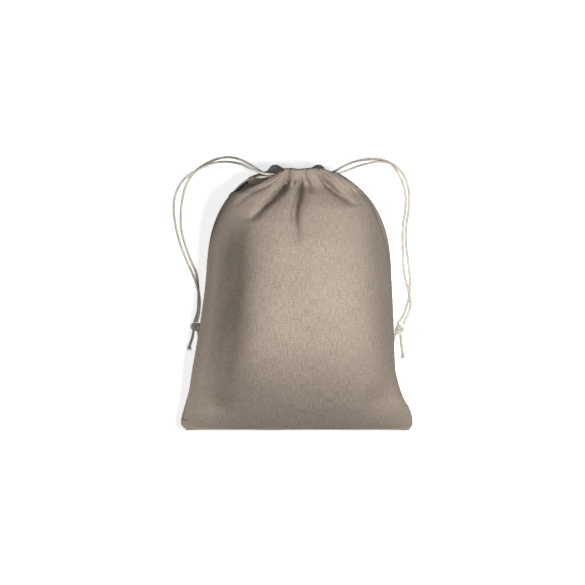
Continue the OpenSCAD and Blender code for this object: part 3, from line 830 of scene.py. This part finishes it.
def surface_relief(face, x, y, c, lift):
    """All that goes below the smooth section: valleys, gathers, soft dents and small creases."""
    valleys = FRONT_VALLEYS if face == FRONT else BACK_VALLEYS
    away = np.clip(lift * 2.5, 0, 1)
    deep = valley_depth(x, y, valleys)
    small = (gathers(c, y, 17, 1.4 * MM, 14 * MM, 5 + face)
             + gathers(c, y, 8, 1.0 * MM, 40 * MM, 9 + face))
    if face == FRONT:
        small = small + 12 * MM * bump_at(x, y, -2.3 * MM, 121 * MM, 1.5 * MM, 2.2 * MM)
    dents = (1.3 * MM * waves(x, y, 90 * MM, 21 + face) + 0.5 * MM * waves(x, y, 34 * MM, 27 + face)
             + 5 * MM * bump_at(x, y, -88 * MM, -112 * MM, 20 * MM, 12 * MM)
             + 4 * MM * bump_at(x, y, 88 * MM, -108 * MM, 16 * MM, 14 * MM))
    body = swell((y - Y_BOTTOM) / (60 * MM))
    return (deep + small + dents * body) * away


def seam_groove(y, rim):
    """The seam pulls the cloth in: a groove along it, with puckers every few millimetres."""
    pucker = 0.5 + 0.5 * np.sin(2 * np.pi * y / (7 * MM) + 2 * waves(y, 0 * y, 40 * MM, 31))
    return 1.1 * MM * np.exp(-(rim / (2.2 * MM)) ** 2) + 0.5 * MM * pucker * np.exp(-(rim / (6 * MM)) ** 2)


def with_turned_top(points, face):
    """Adds the rows that go over the top edge in a half circle and down inside to the stitches."""
    edge = points[-1]
    inner_z = MOUTH_Z + face * FOLD_INSIDE
    radius = np.maximum(face * (edge[:, 2] - inner_z) / 2, 0.8 * MM)
    turn = np.linspace(0, np.pi, TURN_ROWS)[1:, None]
    over = np.stack([np.broadcast_to(edge[:, 0], (TURN_ROWS - 1, COLUMNS)),
                     edge[:, 1] + 0.28 * radius * np.sin(turn),
                     edge[:, 2] - face * radius * (1 - np.cos(turn))], axis=-1)
    down = np.linspace(0, 1, FOLD_ROWS)[1:, None]
    fold = np.stack([np.broadcast_to(edge[:, 0], (FOLD_ROWS - 1, COLUMNS)),
                     mix(over[-1, :, 1], Y_STITCH, down),
                     np.broadcast_to(over[-1, :, 2], (FOLD_ROWS - 1, COLUMNS))], axis=-1)
    return np.concatenate([points, over, fold])


# %% Front and back sheets
FLAT_W, FLAT_L = 250 * MM, 330 * MM


def cloth_sheet(name, face, material, nodes):
    """One sheet: its surface, its cloth coordinates, its thickness and how it bends at the slit.
    Gives its points back, because the hems and the stitches follow them."""
    points, c = sheet_points(face)
    points = with_turned_top(points, face)
    rows = points.shape[0]
    step = np.linalg.norm(np.diff(points[:, COLUMNS // 2], axis=0), axis=1)
    along = np.concatenate([[0], np.cumsum(step)])[:, None]
    uv = np.stack(np.broadcast_arrays((c - 0.5) * FLAT_W, along), axis=-1)
    obj = grid_object(name, points, uv, flip=face == BACK)
    obj.data.shade_smooth()
    obj.data.materials.append(material)
    wall = obj.modifiers.new("thickness", "SOLIDIFY")
    wall.thickness, wall.offset = CLOTH_T, -1
    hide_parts(*nodes)
    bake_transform(obj)
    print(name, rows, "rows", COLUMNS, "columns")
    return points


front_points = cloth_sheet("front_cloth", FRONT, LINEN, ["front_panel", "front_casing"])
# The back sheet takes the darker linen, which is painted shade.
back_points = cloth_sheet("back_cloth", BACK, LINEN_PAINTED_SHADE, ["back_panel", "back_casing"])


# %% [markdown]
# ## Hems, stitches and seams
# Along each slit the raw edge is rolled and sewn, which makes a cord-like lip. The casing's stitches
# and the bar tacks are short pieces of thread. Inside, the seam allowances lie flat.

# %% Slit hems
HEM_ROLL = 1.0 * MM


def slit_hem(node, points, column):
    """A rolled hem: a tube along a sheet's edge from the slit's foot to the top corner."""
    edge = points[:BODY_ROWS, column]
    edge = edge[edge[:, 1] > Y_SLIT + 1 * MM]
    path, _ = even_path(edge[::2], 0.8 * MM)
    obj = tube_object(node + "_rolled", path, HEM_ROLL, width=2 * np.pi * HEM_ROLL)
    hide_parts(node)
    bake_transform(obj)
    return finish_piece(obj, LINEN, None)


slit_hem("front_left_slit_hem", front_points, 0)
slit_hem("front_right_slit_hem", front_points, COLUMNS - 1)
slit_hem("back_left_slit_hem", back_points, 0)
slit_hem("back_right_slit_hem", back_points, COLUMNS - 1)


# %% Rows of stitches
STITCH_L, STITCH_GAP, STITCH_R, STITCH_ARCH = 2.4 * MM, 0.8 * MM, 0.3 * MM, 0.25 * MM


def stitch_row(node, line, normal, body):
    """Short rounded stitches along a line of points, a little proud of the cloth."""
    path, total = even_path(line, 0.5 * MM)
    starts = np.arange(STITCH_GAP, total - STITCH_L, STITCH_L + STITCH_GAP)
    along = np.linspace(0, total, len(path))
    pieces = []
    for start in starts:
        places = np.linspace(start, start + STITCH_L, 6)
        spots = np.stack([np.interp(places, along, path[:, k]) for k in range(3)], axis=1)
        arch = np.sin(np.linspace(0, np.pi, 6))[:, None]
        spots = spots + np.array(normal) * (arch * STITCH_ARCH)
        pieces.append(tube_object(node + "_stitch", spots, STITCH_R * np.sqrt(0.3 + 0.7 * arch[:, 0]), 6))
    obj = joined(pieces, node + "_stitches")
    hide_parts(node)
    finish_piece(obj, THREAD, body)
    print(node, len(starts), "stitches")


def row_at(points, y):
    """The line across a sheet at a given place along it."""
    body = points[:BODY_ROWS]
    nearest = np.abs(body[:, :, 1] - y).argmin(axis=0)
    return body[nearest, np.arange(COLUMNS)]


front_line, back_line = row_at(front_points, Y_STITCH), row_at(back_points, Y_STITCH)
stitch_row("front_casing_thread", front_line[6:-6:3], (0, 0, 1), "front_hem")
stitch_row("back_casing_thread", back_line[6:-6:3], (0, 0, -1), "back_hem")


# %% Seam allowances, seam threads and bar tacks
def ribbon(node, line, inward, width, material, body, wave=0.15 * MM):
    """A flat strip from a line of points, going inward by its width, with a slight wave."""
    share = np.linspace(0, 1, 7)[None, :, None]
    points = line[:, None, :] + inward[:, None, :] * share * width
    points[..., 2] += wave * waves(points[..., 0], points[..., 1], 14 * MM, 41) * share[..., 0]
    uv = np.stack(np.broadcast_arrays(share[..., 0] * width, points[..., 1]), axis=-1)
    obj = grid_object(node + "_strip", points, uv)
    wall = obj.modifiers.new("two_layers", "SOLIDIFY")
    wall.thickness, wall.offset = 1.0 * MM, 0
    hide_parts(node)
    return finish_piece(obj, material, body)


def seam_line(side, inset, y0, y1):
    """Points along a side seam, a given distance inside it."""
    y = np.linspace(y0, y1, 90)
    return np.stack([side * (seam_x(side, y) - inset), y, seam_height(y)], axis=1)


# The side and bottom seam allowances take the darker linen, which is painted shade.
ALLOWANCE_W = 8 * MM
for name, side in (("left", LEFT), ("right", RIGHT)):
    line = seam_line(side, 1.8 * MM, Y_BOTTOM + 10 * MM, Y_SLIT)
    inward = np.tile([-side, 0, 0], (len(line), 1)).astype(float)
    ribbon(f"{name}_side_seam", line, inward, ALLOWANCE_W, LINEN_PAINTED_SHADE, "sack")
    thread_line = seam_line(side, 3 * MM, Y_BOTTOM + 11 * MM, Y_SLIT - 1 * MM) + [0, 0, 0.55 * MM]
    stitch_row(f"{name}_seam_thread", thread_line[::4], (0, 0, 1), "sack")

bottom_low, bottom_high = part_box("bottom_seam")
bottom_x = np.linspace(bottom_low[0], bottom_high[0], 90)
bottom_line = np.stack([bottom_x, 0 * bottom_x + bottom_low[1] + 0.6 * MM,
                        0 * bottom_x + BOTTOM_Z], axis=1)
ribbon("bottom_seam", bottom_line, np.tile([0.0, 1.0, 0.0], (90, 1)), ALLOWANCE_W, LINEN_PAINTED_SHADE,
       "sack")
stitch_row("bottom_seam_thread", bottom_line[2:-2:4] + [0, 1.2 * MM, 0.55 * MM], (0, 0, 1), "sack")


def bar_tack(node, side):
    """A bar tack: thread wrapped closely over the seam at the slit's foot, as one zigzag."""
    turns = np.linspace(0, 9, 180)
    y = mix(Y_SLIT - 4.5 * MM, Y_SLIT - 0.5 * MM, turns / 9)
    x = side * (seam_x(side, y) - 0.2 * MM) + side * 0.9 * MM * np.cos(2 * np.pi * turns)
    z = seam_height(y) + 2.2 * MM * np.sin(2 * np.pi * turns)
    obj = tube_object(node + "_wraps", np.stack([x, y, z], axis=1), 0.28 * MM, 6)
    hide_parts(node)
    return finish_piece(obj, THREAD, "sack")


bar_tack("left_slit_tack", LEFT)
bar_tack("right_slit_tack", RIGHT)
